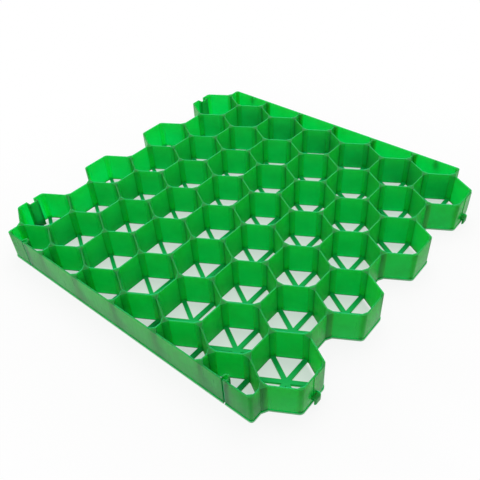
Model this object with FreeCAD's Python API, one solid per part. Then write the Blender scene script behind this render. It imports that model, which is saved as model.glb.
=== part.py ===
import FreeCAD, Part
import math
import os

# Grass paver grid: one moulded panel of hexagonal cells, open at the top, with a spoked floor.
# X runs along the two straight sides, Y across them, Z up from the foot. Millimetres.

# Cells
PITCH = 71.0          # across the flats, from wall middle to wall middle
CELLS = 7             # cells in a long row
LONG_ROWS = 4         # long rows, with a short row between each two
HEIGHT = 45.0         # foot to rim
WALL = 1.8            # every upright wall
POST_LEG = 5.0        # corner post, measured along each wall it thickens
CORNER_R = 6.0        # outer corners of the cells, in plan
END_R = 8.0           # the four square corners of the grid, in plan

# Floor
FLOOR_T = 3.5         # spokes, foot to top
SPOKE_W = 5.4         # spoke from the cell middle to a corner
LIP_OUT = 0.8         # lip round the foot, outward
LIP_H = 2.5           # lip round the foot, upward

# Hooks on the +X flats, and the pockets in the -X flats that take those of the next grid
HOOK_W = 10.4         # along Y
HOOK_TIP = 2.8        # thickness of the turned-down tip
HOOK_LOW = 3.6        # lower end of the tip
HOOK_UNDER = 9.6      # underside of the arm
HOOK_TOP = 14.5       # top of the arm
HOOK_R = 2.2          # rounded outer edges, seen from the side and from above
HOOK_CLEAR = 0.4      # between a hook and its pocket
POCKET_SPARE = 3.4    # room left in the pocket behind the hook, for sand

# Low round-ended boss on each flat that has a hook
BOSS_W = 18.5
BOSS_OUT = 0.9        # less than two lips, so that the next grid clears it
BOSS_LOW = 5.0        # lowest point
BOSS_SHIFT = 7.5      # boss middle from the flat's middle, along Y

# Keyhole slots in the -Y side, each a bore with a slit along its -X edge, and the beads on the +Y side
# that slide into those of the next grid
KEY_R = 2.8           # bore behind the slit
KEY_SLIT = 2.2        # slit in the outer face
KEY_CLEAR = 0.4       # between a bead and its keyhole
BEAD_H = 14.0         # length of a bead, along Z
BEAD_DROP = 0.5       # bead's top below the rim, at the wall
BEAD_LEAD = 0.8       # fall of the bead's sloped top for each millimetre outward

ROOT3 = math.sqrt(3.0)
SIDE = PITCH / ROOT3
ROW = 1.5 * SIDE
ROWS = 2 * LONG_ROWS - 1
MID = (ROWS - 1) / 2
FACE_X = CELLS * PITCH / 2 + WALL / 2
FACE_Y = (MID + 1) * ROW
APOTHEM = (PITCH - WALL) / 2
INSIDE = 2 * APOTHEM / ROOT3
HOOK_GAP = WALL + 2 * LIP_OUT + HOOK_CLEAR    # from a flat to its hook's tip: the next grid's lip and wall
POCKET_D = HOOK_TIP + 2 * HOOK_CLEAR + POCKET_SPARE    # pocket behind the flat
KEY_BACK = WALL + KEY_R                       # bore's axis behind the outer face
OVER = 1.0                                    # tools run this far past what they cut


def triples(points):
    """Each point of a closed outline with the one before and the one after it."""
    return [(points[i - 1], here, points[(i + 1) % len(points)]) for i, here in enumerate(points)]


def turn(a, b, c):
    """Twice the signed area of a corner: positive for a left turn."""
    return (b[0] - a[0]) * (c[1] - b[1]) - (b[1] - a[1]) * (c[0] - b[0])


def between(a, b, share):
    """Point on the line from a to b at a share of its length."""
    return (a[0] + (b[0] - a[0]) * share, a[1] + (b[1] - a[1]) * share)


def along(a, b, length):
    """Point on the line from a towards b, length away from a."""
    return between(a, b, length / math.hypot(b[0] - a[0], b[1] - a[1]))


def cut_corners(points, leg, inner):
    """Replaces corners by flats: the right turns of an outline if inner, else the left turns."""
    result = []
    for before, here, after in triples(points):
        if (turn(before, here, after) < 0) == inner:
            result.append(along(here, before, leg))
            result.append(along(here, after, leg))
        else:
            result.append(here)
    return result


def grow(points, distance):
    """Outline moved outward by a distance, corners kept sharp; points run anticlockwise."""
    result = []
    for before, here, after in triples(points):
        d1 = along((0, 0), (here[0] - before[0], here[1] - before[1]), 1.0)
        d2 = along((0, 0), (after[0] - here[0], after[1] - here[1]), 1.0)
        n1 = (d1[1], -d1[0])
        n2 = (d2[1], -d2[0])
        share = distance / (1 + n1[0] * n2[0] + n1[1] * n2[1])
        result.append((here[0] + share * (n1[0] + n2[0]), here[1] + share * (n1[1] + n2[1])))
    return result


def clip(points, a, b):
    """Part of a convex outline on the left of the line from a to b."""
    result = []
    for before, here, after in triples(points):
        side = turn(a, b, here)
        other = turn(a, b, before)
        if (side > 0) != (other > 0):
            result.append(between(before, here, other / (other - side)))
        if side > 0:
            result.append(here)
    return result


def wire(points, z):
    """Closed wire through 2-D points at height z."""
    ring = [FreeCAD.Vector(x, y, z) for x, y in points]
    return Part.makePolygon(ring + ring[:1])


def contour(corners):
    """Closed flat wire through corners, each a 3-D point and the radius that rounds it."""
    arcs = []
    ends = []
    for (before, _), (here, radius), (after, _) in triples(corners):
        back = (before - here).normalize()
        ahead = (after - here).normalize()
        half = back.getAngle(ahead) / 2
        start = here + back * (radius / math.tan(half))
        end = here + ahead * (radius / math.tan(half))
        ends.append((start, end))
        if radius > 0:
            middle = here + (back + ahead).normalize() * (radius / math.sin(half) - radius)
            arcs.append(Part.Arc(start, middle, end).toShape())
    lines = [Part.makeLine(ends[i - 1][1], start) for i, (start, _) in enumerate(ends)]
    return Part.Wire(Part.__sortEdges__(arcs + lines))


def side_wire(points, extra, z):
    """Closed wire over the grid's outline at height z, its left turns rounded by their radius and extra."""
    far = max(y for _, y in points)
    corners = []
    for before, here, after in triples(points):
        radius = END_R if abs(here[1]) > far - OVER else CORNER_R
        rounding = radius + extra if turn(before, here, after) > 0 else 0
        corners.append((FreeCAD.Vector(here[0], here[1], z), rounding))
    return contour(corners)


def sheet(rings, height):
    """Upright solid over a flat outline with holes through it."""
    face = Part.makeFace(rings, "Part::FaceMakerBullseye")
    return face.extrude(FreeCAD.Vector(0, 0, height))


def block(x0, x1, y0, y1, z0, z1):
    """Box between two corners."""
    return Part.makeBox(x1 - x0, y1 - y0, z1 - z0, FreeCAD.Vector(x0, y0, z0))


def post(x, y, radius, low, high):
    """Upright cylinder."""
    return Part.makeCylinder(radius, high - low, FreeCAD.Vector(x, y, low))


def row_middles(row):
    """X of every cell middle in a row; long rows have even numbers."""
    count = CELLS if row % 2 == 0 else CELLS - 1
    return [(k - (count - 1) / 2) * PITCH for k in range(count)]


def row_y(row):
    """Y of a row's middle line."""
    return (row - MID) * ROW


def side_line():
    """Middle line of the outer wall, anticlockwise from the -Y side."""
    low = -FACE_Y + WALL / 2
    inner = (CELLS - 1) * PITCH / 2
    outer = CELLS * PITCH / 2
    right = []
    for row in range(0, ROWS, 2):
        y = row_y(row)
        right += [(inner, y - SIDE), (outer, y - SIDE / 2), (outer, y + SIDE / 2), (inner, y + SIDE)]
    left = [(-x, -y) for x, y in right]
    return [(inner, low)] + right + [(inner, -low), (-inner, -low)] + left + [(-inner, low)]


def hexagon(x, y):
    """Clear outline of a cell before its posts."""
    ring = []
    for k in range(6):
        angle = math.radians(30 + 60 * k)
        ring.append((x + INSIDE * math.cos(angle), y + INSIDE * math.sin(angle)))
    return ring


def floor_holes(x, y):
    """The six openings between the spokes of a cell; their outer corners follow the posts."""
    near = SPOKE_W / 2
    facet = INSIDE - POST_LEG / 2
    run = INSIDE / 2 - POST_LEG
    end_x = facet * ROOT3 / 2 + near / 2
    end_y = facet / 2 - near * ROOT3 / 2
    outline = [(SPOKE_W, 0), (end_x, -end_y), (APOTHEM, -run), (APOTHEM, run), (end_x, end_y)]
    holes = []
    for k in range(6):
        c = math.cos(math.radians(60 * k))
        s = math.sin(math.radians(60 * k))
        holes.append([(x + px * c - py * s, y + px * s + py * c) for px, py in outline])
    return holes


def whole_cells():
    """Pockets and floor openings of the whole cells."""
    pockets = []
    holes = []
    for row in range(ROWS):
        for x in row_middles(row):
            pockets.append(cut_corners(hexagon(x, row_y(row)), POST_LEG, False))
            holes += floor_holes(x, row_y(row))
    return pockets, holes


def half_cells():
    """Pockets and floor openings of the half cells along the two straight sides."""
    pockets = []
    holes = []
    for row, sign in ((-1, 1), (ROWS, -1)):
        limit = -sign * (FACE_Y - WALL)
        for x in row_middles(row):
            pocket = clip(hexagon(x, row_y(row)), (-sign, limit), (sign, limit))
            pocket = cut_corners(pocket, POST_LEG, False)
            pockets.append(pocket)
            for hole in floor_holes(x, row_y(row)):
                for i, corner in enumerate(pocket):
                    hole = clip(hole, pocket[i - 1], corner) if hole else hole
                if len(hole) > 2:
                    holes.append(hole)
    return pockets, holes


def hook(y):
    """Turned-down hook on a +X flat: its profile and its plan, rounded at the tip, in common."""
    root = FACE_X - WALL / 2
    inner = FACE_X + HOOK_GAP
    tip = inner + HOOK_TIP
    half = HOOK_W / 2
    profile = [
        (root, HOOK_UNDER, 0), (inner, HOOK_UNDER, 0), (inner, HOOK_LOW, 0),
        (tip, HOOK_LOW, HOOK_R), (tip, HOOK_TOP, HOOK_R), (root, HOOK_TOP, 0),
    ]
    plan = [(root, -half, 0), (tip, -half, HOOK_R), (tip, half, HOOK_R), (root, half, 0)]
    side = contour([(FreeCAD.Vector(x, y - half, z), radius) for x, z, radius in profile])
    top = contour([(FreeCAD.Vector(x, y + across, HOOK_LOW), radius) for x, across, radius in plan])
    bar = Part.Face(side).extrude(FreeCAD.Vector(0, HOOK_W, 0))
    column = Part.Face(top).extrude(FreeCAD.Vector(0, 0, HOOK_TOP - HOOK_LOW))
    return bar.common(column)


def boss(y):
    """Low round-ended boss on a +X flat, up to the rim."""
    middle = y + BOSS_SHIFT
    radius = BOSS_W / 2
    root = FACE_X - WALL / 2
    reach = WALL / 2 + BOSS_OUT
    base = FreeCAD.Vector(root, middle, BOSS_LOW + radius)
    end = Part.makeCylinder(radius, reach, base, FreeCAD.Vector(1, 0, 0))
    body = block(root, root + reach, middle - radius, middle + radius, base.z, HEIGHT)
    return end.fuse(body)


def pocket_shell(y):
    """Solid that stands behind a -X flat before the pocket is cut."""
    half = HOOK_W / 2 + HOOK_CLEAR + WALL
    depth = WALL + POCKET_D + WALL
    return block(-FACE_X, -FACE_X + depth, y - half, y + half, 0, HEIGHT)


def pocket_tools(y):
    """Tools for the pocket, and for the slot above the sill that the hook hangs on."""
    half = HOOK_W / 2 + HOOK_CLEAR
    back = -FACE_X + WALL
    low = HOOK_LOW - HOOK_CLEAR
    sill = HOOK_UNDER - HOOK_CLEAR
    well = block(back, back + POCKET_D, y - half, y + half, low, HEIGHT + OVER)
    slot = block(-FACE_X - OVER, back, y - half, y + half, sill, HEIGHT + OVER)
    return [well, slot]


def key_tools(x):
    """Tools for a keyhole: bore and slit, open from foot to rim."""
    axis = -FACE_Y + KEY_BACK
    bore = post(x, axis, KEY_R, -OVER, HEIGHT + OVER)
    front = -FACE_Y - LIP_OUT - OVER
    slit = block(x - KEY_R, x - KEY_R + KEY_SLIT, front, axis, -OVER, HEIGHT + OVER)
    return [bore, slit]


def bead(x):
    """Bead on a neck on the +Y side, as far out as two lips and a keyhole's bore need, with a sloped top."""
    axis = FACE_Y + 2 * LIP_OUT + KEY_BACK
    radius = KEY_R - KEY_CLEAR
    end = axis + radius + OVER
    top = HEIGHT - BEAD_DROP
    low = top - BEAD_H
    neck = block(x - radius, x - radius + KEY_SLIT - 2 * KEY_CLEAR, FACE_Y - WALL / 2, axis, low, top)
    slope = [(FACE_Y, top), (end, top - BEAD_LEAD * (end - FACE_Y)), (end, top + OVER), (FACE_Y, top + OVER)]
    corners = [(FreeCAD.Vector(x - KEY_BACK, y, z), 0) for y, z in slope]
    lead = Part.Face(contour(corners)).extrude(FreeCAD.Vector(2 * KEY_BACK, 0, 0))
    return neck.fuse(post(x, axis, radius, low, top)).cut(lead)


hook_rows = [row_y(0), row_y(ROWS - 1)]
key_places = [row_middles(-1)[0], row_middles(-1)[-1]]
outline = cut_corners(grow(side_line(), WALL / 2), POST_LEG, True)
lip_outline = cut_corners(grow(side_line(), WALL / 2 + LIP_OUT), POST_LEG, True)
whole_pockets, whole_holes = whole_cells()
half_pockets, half_holes = half_cells()

pocket_wires = [wire(ring, FLOOR_T) for ring in whole_pockets + half_pockets]
hole_wires = [wire(ring, 0) for ring in whole_holes + half_holes]
walls = sheet([side_wire(outline, 0, FLOOR_T)] + pocket_wires, HEIGHT - FLOOR_T)
floor = sheet([side_wire(outline, 0, 0)] + hole_wires, FLOOR_T)
lip = sheet([side_wire(lip_outline, LIP_OUT, 0), side_wire(outline, 0, 0)], LIP_H)

added = [lip, walls]
removed = []
for y in hook_rows:
    added.append(boss(y))
    added.append(hook(y))
    added.append(pocket_shell(y))
    removed += pocket_tools(y)
for x in key_places:
    added.append(post(x, -FACE_Y + KEY_BACK, KEY_BACK, 0, HEIGHT))
    added.append(bead(x))
    removed += key_tools(x)

grid = floor.fuse(added).cut(removed).removeSplitter()
print("solids", len(grid.Solids), "valid", grid.isValid(), "volume cm3", round(grid.Volume / 1000, 1))

os.makedirs("parts", exist_ok=True)
grid.exportStep("parts/paver_grid.step")
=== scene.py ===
import logging
import math
from dataclasses import dataclass, field
from enum import Enum

import bmesh
import bpy
from mathutils import Matrix, Vector
from mathutils.bvhtree import BVHTree


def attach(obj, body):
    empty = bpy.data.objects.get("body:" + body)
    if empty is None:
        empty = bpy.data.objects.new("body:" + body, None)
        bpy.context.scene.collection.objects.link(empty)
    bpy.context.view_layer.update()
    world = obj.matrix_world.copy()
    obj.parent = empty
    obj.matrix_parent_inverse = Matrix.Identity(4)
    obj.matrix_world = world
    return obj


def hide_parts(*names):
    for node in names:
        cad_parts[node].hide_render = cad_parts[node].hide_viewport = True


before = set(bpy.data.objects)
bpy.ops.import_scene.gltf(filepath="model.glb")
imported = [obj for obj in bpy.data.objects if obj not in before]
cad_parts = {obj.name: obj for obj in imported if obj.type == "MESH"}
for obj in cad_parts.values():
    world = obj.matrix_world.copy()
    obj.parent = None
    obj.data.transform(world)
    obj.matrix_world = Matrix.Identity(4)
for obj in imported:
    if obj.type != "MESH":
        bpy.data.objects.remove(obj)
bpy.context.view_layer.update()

LOG = logging.getLogger("paver_grid")
IMAGE_PX = 480
MM = 0.001
WHITE = "#FFFFFF"
# The subsurface radius that Cycles takes is 4 pi times the free path of light in the plastic.
RADII_PER_FREE_PATH = 4 * math.pi
# Walls of the cells repeat at this turn in plan.
WALL_TURN_DEG = 60.0
# Notes that the grid's mesh holds for its plastic: a face's share, the painted light and shade that scales
# its colour, whether it is on the outside, whether it is solid, and how far across a post each of its
# corners lies.
PAINTED_SHARE = "share"
OUTER = "outer"
SOLID = "solid"
ACROSS = "across"
# The place of a corner across a post runs from 0 to 1.
MIDDLE = 0.5
# Two shares count as the same within this.
SAME_SHARE = 0.01


class Node(Enum):
    """The CAD nodes that the scene dresses."""

    GRID = "paver_grid"


class Place(Enum):
    """Kinds of face, each with its share, the painted light and shade on its colour, and whether it is
    solid.

    The share scales the plastic's colour beside a plain wall's: painted light on spokes, the lip and the
    middle of a post, painted shade on rims, and the darkest painted shade in the fittings. No two kinds
    have the same, because the plastic tells walls and lip by it. Light passes through every kind that isn't
    solid.
    """

    WALL = (1.0, False)
    POST = (1.3, False)
    RIM = (0.95, False)
    SPOKE = (1.65, True)
    FITTING = (0.5, False)
    LIP = (1.1, True)

    def __init__(self, share: float, solid: bool) -> None:
        """Keeps the kind's two notes by name."""
        self.share = share
        self.solid = solid


def linear(code: str) -> tuple[float, float, float, float]:
    """Turns an sRGB hex colour into linear values.

    Args:
        code: six hex digits, with or without a leading hash.

    Returns:
        Linear red, green and blue, and an alpha of 1.
    """
    digits = code.lstrip("#")
    parts = [int(digits[i:i + 2], 16) / 255 for i in (0, 2, 4)]
    # The curve of the sRGB standard.
    red, green, blue = [p / 12.92 if p <= 0.04045 else ((p + 0.055) / 1.055) ** 2.4 for p in parts]
    return red, green, blue, 1.0


def per_metre(pattern_mm: float) -> float:
    """Gives the texture scale that repeats a pattern once in pattern_mm."""
    return 1 / (pattern_mm * MM)


def add_node(tree: bpy.types.NodeTree, kind: str, settings: dict[str, object] | None = None,
             inputs: dict[str | int, object] | None = None) -> bpy.types.Node:
    """Adds a node, sets its properties, and fills or links its inputs.

    Args:
        tree: node tree that gets the node.
        kind: Blender's name of the node type.
        settings: node properties by name.
        inputs: values or output sockets by input name or number.

    Returns:
        The new node.
    """
    node = tree.nodes.new(kind)
    for name, value in (settings or {}).items():
        setattr(node, name, value)
    for name, value in (inputs or {}).items():
        if isinstance(value, bpy.types.NodeSocket):
            tree.links.new(value, node.inputs[name])
        else:
            node.inputs[name].default_value = value
    return node


def new_material(name: str) -> bpy.types.Material:
    """Makes an empty node material.

    Args:
        name: the material's name.

    Returns:
        The material, with no nodes.
    """
    material = bpy.data.materials.new(name)
    material.use_nodes = True
    material.node_tree.nodes.clear()
    return material


def shows_backdrop(tree: bpy.types.NodeTree) -> bpy.types.NodeSocket:
    """Tells the rays that show the white backdrop: the eye's own, reflected ones and those through glass.

    Args:
        tree: node tree of the floor or the room.

    Returns:
        Socket that is 1 for these rays, and 0 for those that carry light to the object.
    """
    rays = add_node(tree, "ShaderNodeLightPath")
    seen = add_node(tree, "ShaderNodeMath", {"operation": "ADD"}, {
        0: rays.outputs["Is Camera Ray"], 1: rays.outputs["Is Glossy Ray"]})
    shown = add_node(tree, "ShaderNodeMath", {"operation": "ADD", "use_clamp": True}, {
        0: seen.outputs[0], 1: rays.outputs["Is Transmission Ray"]})
    return shown.outputs[0]


@dataclass(frozen=True)
class MouldedPolyethylene:
    """Injection-moulded polyethylene, dyed green right through.

    The plastic is waxy and a little cloudy: light that falls on one side of a thin wall leaves on the
    other, so walls with a bright room behind them glow, and thick posts stay dark, helped by painted shade.
    Its outer skin is satin, with faint upright streaks from the mould's draw, and mirrors the pale floor as
    a soft haze. Inside the cells, which the mould's cores shaped, it is duller. The lip round the foot is a
    paler green. Painted light and shade on the colour, face by face and by height, stand in for more of the
    light in the plastic.
    """

    name: str = "moulded_green_polyethylene"
    body: str = "#008231"
    deep: str = "#006727"
    # Painted cooler green for every face but a plain wall's.
    painted_thick_green: str = "#009041"
    # Paler green of the lip round the foot.
    pale_lip_green: str = "#5B966B"
    cloud_mm: float = 30.0
    cloud_range: tuple[float, float] = (0.25, 0.75)
    cloud_detail: float = 3.0
    cloud_roughness: float = 0.55
    streak_mm: float = 3.0
    streak_stretch: float = 0.06
    streak_range: tuple[float, float] = (0.3, 0.7)
    grain_mm: float = 1.6
    grain_height_mm: float = 0.02
    fine_detail: float = 2.0
    # Painted shade along a post's upright edges.
    post_edge_shade: float = 0.95
    post_edge_shade_power: int = 4
    # Painted light towards the foot and painted shade towards the rim.
    foot_mm: float = 6.0
    painted_foot_gain: float = 0.4
    wall_mm: float = 45.0
    painted_wall_gain: tuple[float, float] = (1.5, 0.62)
    inner_roughness: float = 0.58
    outer_roughness: float = 0.32
    streak_roughness: float = 0.1
    ior: float = 1.51
    specular: float = 0.2
    free_path_mm: tuple[float, float, float] = (0.3, 3.7, 0.9)

    def material(self) -> bpy.types.Material:
        """Builds the node material.

        Returns:
            The finished material.
        """
        material = new_material(self.name)
        tree = material.node_tree
        place = add_node(tree, "ShaderNodeTexCoord").outputs["Object"]
        cloud = add_node(tree, "ShaderNodeTexNoise", inputs={
            "Vector": place, "Scale": per_metre(self.cloud_mm),
            "Detail": self.cloud_detail, "Roughness": self.cloud_roughness})
        clouded = add_node(tree, "ShaderNodeMapRange", inputs={
            "Value": cloud.outputs["Fac"],
            "From Min": self.cloud_range[0], "From Max": self.cloud_range[1]})
        dye = add_node(tree, "ShaderNodeMix", {"data_type": "RGBA"}, {
            "Factor": clouded.outputs["Result"], 6: linear(self.deep), 7: linear(self.body)})

        # Every face but a plain wall's takes a cooler green, painted to stand for how light passes the
        # thicker plastic of posts, rims and spokes.
        share = add_node(tree, "ShaderNodeAttribute", {"attribute_name": PAINTED_SHARE})
        plain = add_node(tree, "ShaderNodeMath", {"operation": "COMPARE"}, {
            0: share.outputs["Fac"], 1: Place.WALL.share, 2: SAME_SHARE})
        painted_cool = add_node(tree, "ShaderNodeMix", {"data_type": "RGBA"}, {
            "Factor": plain.outputs[0], 6: linear(self.painted_thick_green), 7: dye.outputs[2]})
        # The lip round the foot takes a paler green.
        lip = add_node(tree, "ShaderNodeMath", {"operation": "COMPARE"}, {
            0: share.outputs["Fac"], 1: Place.LIP.share, 2: SAME_SHARE})
        tone = add_node(tree, "ShaderNodeMix", {"data_type": "RGBA"}, {
            "Factor": lip.outputs[0], 6: painted_cool.outputs[2], 7: linear(self.pale_lip_green)})

        # Painted shade: a post's colour is darkened along its two upright edges.
        across = add_node(tree, "ShaderNodeAttribute", {"attribute_name": ACROSS})
        from_middle = add_node(tree, "ShaderNodeMath", {"operation": "SUBTRACT"}, {
            0: across.outputs["Fac"], 1: MIDDLE})
        steep = add_node(tree, "ShaderNodeMath", {"operation": "POWER"}, {
            0: from_middle.outputs[0], 1: float(self.post_edge_shade_power)})
        painted_edge_shade = add_node(tree, "ShaderNodeMath", {"operation": "MULTIPLY_ADD"}, {
            0: steep.outputs[0], 1: -self.post_edge_shade / MIDDLE ** self.post_edge_shade_power, 2: 1.0})
        edge_shaded_share = add_node(tree, "ShaderNodeMath", {"operation": "MULTIPLY"}, {
            0: share.outputs["Fac"], 1: painted_edge_shade.outputs[0]})

        # Painted light and shade by height: the colour is brightened towards the foot, for light from the
        # pale ground that passes up inside the plastic, and darkened towards the rim, so that a wall looks
        # even from rim to foot.
        height = add_node(tree, "ShaderNodeSeparateXYZ", inputs={0: place})
        painted_foot_light = add_node(tree, "ShaderNodeMapRange", {"interpolation_type": "SMOOTHSTEP"}, {
            "Value": height.outputs["Z"], "From Min": 0.0, "From Max": self.foot_mm * MM,
            "To Min": 1 + self.painted_foot_gain, "To Max": 1.0})
        even = add_node(tree, "ShaderNodeMapRange", inputs={
            "Value": height.outputs["Z"], "From Min": 0.0, "From Max": self.wall_mm * MM,
            "To Min": self.painted_wall_gain[0], "To Max": self.painted_wall_gain[1]})
        painted_height_light = add_node(tree, "ShaderNodeMath", {"operation": "MULTIPLY"}, {
            0: painted_foot_light.outputs["Result"], 1: even.outputs["Result"]})
        painted_light_factor = add_node(tree, "ShaderNodeMath", {"operation": "MULTIPLY"}, {
            0: edge_shaded_share.outputs[0], 1: painted_height_light.outputs[0]})
        colour = add_node(tree, "ShaderNodeVectorMath", {"operation": "SCALE"}, {
            0: tone.outputs[2], "Scale": painted_light_factor.outputs[0]})

        drawn = add_node(tree, "ShaderNodeMapping", inputs={
            "Vector": place, "Scale": (1.0, 1.0, self.streak_stretch)})
        streak = add_node(tree, "ShaderNodeTexNoise", inputs={
            "Vector": drawn.outputs[0], "Scale": per_metre(self.streak_mm), "Detail": self.fine_detail})
        satin = add_node(tree, "ShaderNodeMapRange", inputs={
            "Value": streak.outputs["Fac"],
            "From Min": self.streak_range[0], "From Max": self.streak_range[1],
            "To Min": -self.streak_roughness / 2, "To Max": self.streak_roughness / 2})
        outer = add_node(tree, "ShaderNodeAttribute", {"attribute_name": OUTER})
        polish = add_node(tree, "ShaderNodeMapRange", inputs={
            "Value": outer.outputs["Fac"],
            "To Min": self.inner_roughness, "To Max": self.outer_roughness})
        roughness = add_node(tree, "ShaderNodeMath", {"operation": "ADD"}, {
            0: polish.outputs["Result"], 1: satin.outputs["Result"]})
        grain = add_node(tree, "ShaderNodeTexNoise", inputs={
            "Vector": place, "Scale": per_metre(self.grain_mm), "Detail": self.fine_detail})
        bump = add_node(tree, "ShaderNodeBump", inputs={
            "Height": grain.outputs["Fac"], "Distance": self.grain_height_mm * MM, "Strength": 1.0})

        # The ground under the spokes and the lip sends back what passes them, so that they look solid.
        solid = add_node(tree, "ShaderNodeAttribute", {"attribute_name": SOLID})
        thin = add_node(tree, "ShaderNodeMath", {"operation": "SUBTRACT"}, {
            0: 1.0, 1: solid.outputs["Fac"]})
        skin = add_node(tree, "ShaderNodeBsdfPrincipled", {"subsurface_method": "RANDOM_WALK"}, {
            "Base Color": colour.outputs[0],
            "Roughness": roughness.outputs[0],
            "IOR": self.ior,
            "Specular IOR Level": self.specular,
            "Subsurface Weight": thin.outputs[0],
            "Subsurface Radius": self.free_path_mm,
            "Subsurface Scale": RADII_PER_FREE_PATH * MM,
            "Normal": bump.outputs["Normal"]})
        add_node(tree, "ShaderNodeOutputMaterial", inputs={"Surface": skin.outputs["BSDF"]})
        return material


@dataclass(frozen=True)
class StudioPaper:
    """Matt white paper: it takes the object's shadow, and shows the eye a share of plain white.

    The share is small inside the grid's outline, where the white is painted a light green for light that
    has passed the green walls. It is large around the grid and grows to the whole further out, past the
    grid's shadow.
    """

    name: str = "white_studio_paper"
    colour: str = "#FAFAF9"
    # Painted green light on the white shown inside the grid's outline.
    painted_green_tint: str = "#E8FBEE"
    white_share: tuple[float, float] = (0.58, 0.87)
    fade_mm: tuple[float, float] = (-12.0, 2.0)
    clear_mm: tuple[float, float] = (20.0, 320.0)
    row_mm: float = 61.49
    notch_mm: tuple[float, float] = (20.5, 41.0)
    ends_mm: tuple[float, float] = (213.5, 249.0)
    side_mm: float = 246.0

    def material(self) -> bpy.types.Material:
        """Builds the node material.

        Returns:
            The finished material.
        """
        material = new_material(self.name)
        tree = material.node_tree
        place = add_node(tree, "ShaderNodeTexCoord").outputs["Object"]
        from_middle = add_node(tree, "ShaderNodeVectorMath", {"operation": "ABSOLUTE"}, {0: place})
        plan = add_node(tree, "ShaderNodeSeparateXYZ", inputs={0: from_middle.outputs[0]})
        # Along X the long rows of cells reach further out than the short ones.
        row = add_node(tree, "ShaderNodeMath", {"operation": "PINGPONG"}, {
            0: plan.outputs["Y"], 1: self.row_mm * MM})
        end = add_node(tree, "ShaderNodeMapRange", inputs={
            "Value": row.outputs[0],
            "From Min": self.notch_mm[0] * MM, "From Max": self.notch_mm[1] * MM,
            "To Min": self.ends_mm[0] * MM, "To Max": self.ends_mm[1] * MM})
        past_end = add_node(tree, "ShaderNodeMath", {"operation": "SUBTRACT"}, {
            0: plan.outputs["X"], 1: end.outputs["Result"]})
        past_side = add_node(tree, "ShaderNodeMath", {"operation": "SUBTRACT"}, {
            0: plan.outputs["Y"], 1: self.side_mm * MM})
        past = add_node(tree, "ShaderNodeMath", {"operation": "MAXIMUM"}, {
            0: past_end.outputs[0], 1: past_side.outputs[0]})
        around = add_node(tree, "ShaderNodeMapRange", {"interpolation_type": "SMOOTHSTEP"}, {
            "Value": past.outputs[0],
            "From Min": self.fade_mm[0] * MM, "From Max": self.fade_mm[1] * MM})
        pale = add_node(tree, "ShaderNodeMapRange", inputs={
            "Value": around.outputs["Result"],
            "To Min": self.white_share[0], "To Max": self.white_share[1]})
        further = add_node(tree, "ShaderNodeMapRange", {"interpolation_type": "SMOOTHSTEP"}, {
            "Value": past.outputs[0],
            "From Min": self.clear_mm[0] * MM, "From Max": self.clear_mm[1] * MM,
            "To Max": 1 - self.white_share[1]})
        clear = add_node(tree, "ShaderNodeMath", {"operation": "ADD"}, {
            0: pale.outputs["Result"], 1: further.outputs["Result"]})
        # Painted light: the white shown inside the outline is tinted green.
        painted_hue = add_node(tree, "ShaderNodeMix", {"data_type": "RGBA"}, {
            "Factor": around.outputs["Result"], 6: linear(self.painted_green_tint), 7: linear(WHITE)})
        share = add_node(tree, "ShaderNodeMath", {"operation": "MULTIPLY"}, {
            0: shows_backdrop(tree), 1: clear.outputs[0]})
        matt = add_node(tree, "ShaderNodeBsdfDiffuse", inputs={"Color": linear(self.colour)})
        white = add_node(tree, "ShaderNodeEmission", inputs={"Color": painted_hue.outputs[2], "Strength": 1.0})
        both = add_node(tree, "ShaderNodeMixShader", inputs={
            0: share.outputs[0], 1: matt.outputs[0], 2: white.outputs[0]})
        add_node(tree, "ShaderNodeOutputMaterial", inputs={"Surface": both.outputs[0]})
        return material


@dataclass(frozen=True)
class Patch:
    """Rectangle of the grid's plan, by its middle and its half sides."""

    middle_mm: tuple[float, float]
    half_mm: tuple[float, float]

    def holds(self, point: Vector) -> bool:
        """Tells whether a point lies over the rectangle."""
        away = [abs(c / MM - middle) for c, middle in zip(point.xy, self.middle_mm)]
        return away[0] < self.half_mm[0] and away[1] < self.half_mm[1]


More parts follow.
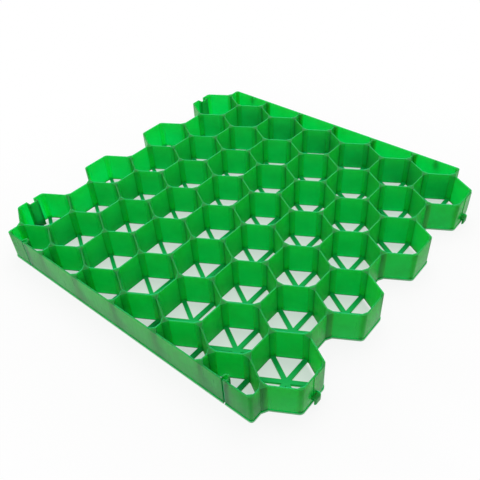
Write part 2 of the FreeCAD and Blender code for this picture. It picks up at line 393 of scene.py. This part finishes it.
@dataclass
class PaverGrid:
    """The moulded grid: the CAD node's shape with finer edges, and notes on each face for its plastic's
    painted light and shade.

    The fittings are two hook pockets, then two keyhole slots.
    """

    height_mm: float = 45.0
    floor_mm: float = 3.5
    lip_mm: float = 2.5
    edge_mm: float = 0.35
    edge_segments: int = 2
    post_width_mm: tuple[float, float] = (4.0, 9.5)
    post_reach_mm: float = 30.0
    post_turn_deg: tuple[float, float] = (12.0, 48.0)
    side_mm: float = 236.0
    crease_deg: float = 25.0
    outward_lean: float = 0.3
    rim_lean: float = 0.2
    upright_lean: float = 0.1
    under_lean: float = -0.9
    end_corner_mm: tuple[float, float] = (213.9, 245.95)
    end_radius_mm: float = 8.0
    tight_radius_mm: float = 3.5
    slack_mm: float = 0.05
    merge_mm: float = 0.005
    fittings: tuple[Patch, ...] = (
        Patch((-244.0, -184.5), (5.6, 7.6)),
        Patch((-244.0, 184.5), (5.6, 7.6)),
        Patch((-177.5, -241.4), (4.9, 4.9)),
        Patch((177.5, -241.4), (4.9, 4.9)))
    slot: str = "green_plastic"
    finish: MouldedPolyethylene = field(default_factory=MouldedPolyethylene)

    def build(self) -> bpy.types.Object:
        """Makes the piece that stands for the CAD node.

        Returns:
            The grid's object.
        """
        shape = bmesh.new()
        shape.from_mesh(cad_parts[Node.GRID.value].data)
        bmesh.ops.remove_doubles(shape, verts=shape.verts, dist=self.merge_mm * MM)
        self.tighten_ends(shape)
        self.round_rim(shape)
        self.note_faces(shape)
        self.crease(shape)
        mesh = bpy.data.meshes.new("moulded_grid")
        shape.to_mesh(mesh)
        shape.free()
        piece = bpy.data.objects.new("moulded_grid", mesh)
        bpy.context.collection.objects.link(piece)
        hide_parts(Node.GRID.value)
        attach(piece, "root")
        return piece

    def tighten_ends(self, shape: bmesh.types.BMesh) -> None:
        """Draws the round of the grid's four square corners, wall and lip, out to a tighter one.

        Args:
            shape: merged mesh of the grid.
        """
        drawn = self.end_radius_mm - self.tight_radius_mm
        for vert in shape.verts:
            u, v = [abs(c) / MM - edge + self.end_radius_mm
                    for c, edge in zip(vert.co.xy, self.end_corner_mm)]
            round_mm = math.hypot(u, v)
            if min(u, v) <= 0 or round_mm < self.end_radius_mm - self.slack_mm:
                continue
            # From the old round's centre, the new outline is two straight runs and a round
            # about the point (drawn, drawn).
            scale = round_mm / max(u, v)
            if min(u, v) * scale > drawn:
                forward = drawn * (u + v) / round_mm
                left = 2 * drawn ** 2 - (round_mm - drawn) ** 2
                scale = (forward + math.sqrt(forward ** 2 - left)) / round_mm
            vert.co.x += math.copysign(u * (scale - 1) * MM, vert.co.x)
            vert.co.y += math.copysign(v * (scale - 1) * MM, vert.co.y)

    def round_rim(self, shape: bmesh.types.BMesh) -> None:
        """Rounds the edges between the rim's top and the walls.

        Args:
            shape: merged mesh of the grid.
        """
        top = (self.height_mm - self.slack_mm) * MM
        bend = math.radians(self.crease_deg)
        edges = [edge for edge in shape.edges
                 if min(v.co.z for v in edge.verts) > top and edge.calc_face_angle(0.0) > bend]
        bmesh.ops.bevel(shape, geom=edges, offset=self.edge_mm * MM, offset_type="OFFSET", affect="EDGES",
                        segments=self.edge_segments, profile=0.5, material=-1, clamp_overlap=True)

    def looks_out(self, walls: BVHTree, face: bmesh.types.BMFace) -> bool:
        """Tells whether a face is on the outside: nothing stands before it along X or along Y.

        Args:
            walls: search tree of the grid's faces.
            face: face of the grid.

        Returns:
            True for a face of the outside.
        """
        start = face.calc_center_median() + face.normal * self.slack_mm * MM
        ways = (Vector((face.normal.x, 0, 0)), Vector((0, face.normal.y, 0)))
        return any(way.length > self.outward_lean and walls.ray_cast(start, way)[0] is None for way in ways)

    def place_of(self, face: bmesh.types.BMFace, outside: bool) -> Place:
        """Tells what kind of face this is, by its place, its height, its tilt and its width.

        A cell's walls face 0, 60, 120 degrees and so on in plan, and its posts face between them.

        Args:
            face: face of the grid.
            outside: whether it is a face of the outside, where no post shows.

        Returns:
            The kind of face.
        """
        middle = face.calc_center_median()
        # Faces in the fittings take the darkest painted shade.
        if not outside and any(patch.holds(middle) for patch in self.fittings):
            return Place.FITTING
        heights = [v.co.z / MM for v in face.verts]
        if outside and max(heights) < self.lip_mm + self.slack_mm:
            return Place.LIP
        if face.normal.z > self.rim_lean and min(heights) > self.height_mm - self.edge_mm - self.slack_mm:
            return Place.RIM
        if face.normal.z > self.under_lean and max(heights) < self.floor_mm + self.slack_mm:
            return Place.SPOKE
        width = max((a.co.xy - b.co.xy).length for a in face.verts for b in face.verts) / MM
        tall = max(heights) - min(heights) > self.post_reach_mm
        upright = abs(face.normal.z) < self.upright_lean
        turn = math.degrees(math.atan2(face.normal.y, face.normal.x)) % WALL_TURN_DEG
        slanted = self.post_turn_deg[0] < turn < self.post_turn_deg[1]
        narrow = self.post_width_mm[0] < width < self.post_width_mm[1]
        if upright and tall and slanted and narrow and not outside:
            # Posts at the near and far sides take the fittings' painted shade.
            return Place.FITTING if abs(middle.y) > self.side_mm * MM else Place.POST
        return Place.WALL

    def note_faces(self, shape: bmesh.types.BMesh) -> None:
        """Writes the notes that the plastic reads, its painted light and shade among them, on each face and
        on the corners of the posts.

        Args:
            shape: finished mesh of the grid.
        """
        share = shape.faces.layers.float.new(PAINTED_SHARE)
        outer = shape.faces.layers.float.new(OUTER)
        solid = shape.faces.layers.float.new(SOLID)
        across = shape.loops.layers.float.new(ACROSS)
        shape.normal_update()
        walls = BVHTree.FromBMesh(shape)
        for face in shape.faces:
            outside = self.looks_out(walls, face)
            place = self.place_of(face, outside)
            face[outer] = float(outside)
            face[solid] = float(place.solid)
            face[share] = place.share
            if place is not Place.POST:
                for loop in face.loops:
                    loop[across] = MIDDLE
                continue
            along = Vector((-face.normal.y, face.normal.x, 0.0))
            steps = [loop.vert.co.dot(along) for loop in face.loops]
            for loop, step in zip(face.loops, steps):
                loop[across] = (step - min(steps)) / (max(steps) - min(steps))

    def crease(self, shape: bmesh.types.BMesh) -> None:
        """Smooths the round corners and keeps every sharper edge sharp.

        Args:
            shape: finished mesh of the grid.
        """
        for face in shape.faces:
            face.smooth = True
        for edge in shape.edges:
            edge.smooth = edge.calc_face_angle(math.pi) < math.radians(self.crease_deg)

    def dress(self, piece: bpy.types.Object) -> None:
        """Gives the piece its plastic."""
        piece.data.materials.append(self.finish.material())


@dataclass
class StudioFloor:
    """Pale sheet of paper under the grid."""

    half_m: float = 6.0
    drop_mm: float = 0.2
    finish: StudioPaper = field(default_factory=StudioPaper)

    def build(self) -> bpy.types.Object:
        """Makes the sheet.

        Returns:
            The floor's object.
        """
        mesh = bpy.data.meshes.new("studio_floor")
        shape = bmesh.new()
        bmesh.ops.create_grid(shape, x_segments=1, y_segments=1, size=self.half_m,
                              matrix=Matrix.Translation((0, 0, -self.drop_mm * MM)))
        shape.to_mesh(mesh)
        shape.free()
        floor = bpy.data.objects.new("studio_floor", mesh)
        bpy.context.collection.objects.link(floor)
        floor.data.materials.append(self.finish.material())
        return floor


@dataclass
class Softbox:
    """Square soft lamp that faces a point."""

    name: str
    place: tuple[float, float, float]
    side_m: float
    watts: float
    aim: tuple[float, float, float] = (0.0, 0.0, 0.0)

    def build(self) -> bpy.types.Object:
        """Makes the lamp.

        Returns:
            The lamp's object.
        """
        data = bpy.data.lights.new(self.name, "AREA")
        data.shape = "SQUARE"
        data.size = self.side_m
        data.energy = self.watts
        lamp = bpy.data.objects.new(self.name, data)
        lamp.location = self.place
        lamp.rotation_euler = (Vector(self.aim) - Vector(self.place)).to_track_quat("-Z", "Y").to_euler()
        bpy.context.collection.objects.link(lamp)
        return lamp


@dataclass
class Room:
    """Even pale light from all round, white to the eye."""

    strength: float = 0.58

    def build(self) -> None:
        """Sets the world's nodes."""
        world = bpy.data.worlds.new("pale_room")
        world.use_nodes = True
        bpy.context.scene.world = world
        tree = world.node_tree
        tree.nodes.clear()
        light = add_node(tree, "ShaderNodeBackground", inputs={
            "Color": linear(WHITE), "Strength": self.strength})
        white = add_node(tree, "ShaderNodeBackground", inputs={"Color": linear(WHITE), "Strength": 1.0})
        both = add_node(tree, "ShaderNodeMixShader", inputs={
            0: shows_backdrop(tree), 1: light.outputs[0], 2: white.outputs[0]})
        add_node(tree, "ShaderNodeOutputWorld", inputs={"Surface": both.outputs[0]})


@dataclass
class PhotoCamera:
    """Camera at the photograph's viewing angle, from its place, its direction and its roll."""

    place_mm: tuple[float, float, float] = (429.5, -484.1, 544.6)
    azimuth_deg: float = 42.15
    elevation_deg: float = 41.72
    roll_deg: float = -3.75
    focus_px: float = 574.7
    sensor_mm: float = 36.0
    nearest_m: float = 0.01

    def build(self) -> bpy.types.Object:
        """Makes the camera and hands it to the scene.

        Returns:
            The camera's object.
        """
        data = bpy.data.cameras.new("photo_camera")
        data.sensor_width = self.sensor_mm
        data.sensor_fit = "HORIZONTAL"
        data.lens = self.focus_px / IMAGE_PX * self.sensor_mm
        data.clip_start = self.nearest_m
        camera = bpy.data.objects.new("photo_camera", data)
        turn = Matrix.Rotation(math.radians(self.azimuth_deg), 4, "Z")
        tilt = Matrix.Rotation(math.radians(90 - self.elevation_deg), 4, "X")
        roll = Matrix.Rotation(math.radians(self.roll_deg), 4, "Z")
        camera.matrix_world = Matrix.Translation(Vector(self.place_mm) * MM) @ turn @ tilt @ roll
        bpy.context.collection.objects.link(camera)
        bpy.context.scene.camera = camera
        return camera


def main() -> None:
    """Builds the grid, its stage, its light and its camera, in that order."""
    logging.basicConfig(level=logging.INFO, format="%(name)s: %(message)s")
    bpy.context.scene.view_settings.view_transform = "Standard"

    grid = PaverGrid()
    piece = grid.build()
    grid.dress(piece)
    LOG.info("%s: %d faces", piece.name, len(piece.data.polygons))

    floor = StudioFloor().build()
    LOG.info("%s under the grid", floor.name)

    Room().build()
    for lamp in (Softbox("sky_softbox", place=(-0.3, 0.8, 1.9), side_m=1.6, watts=18.0),
                 Softbox("left_softbox", place=(-1.5, -1.5, 0.8), side_m=1.4, watts=8.0)):
        LOG.info("%s lit", lamp.build().name)
    LOG.info("%s set", PhotoCamera().build().name)


if __name__ == "__main__":
    main()
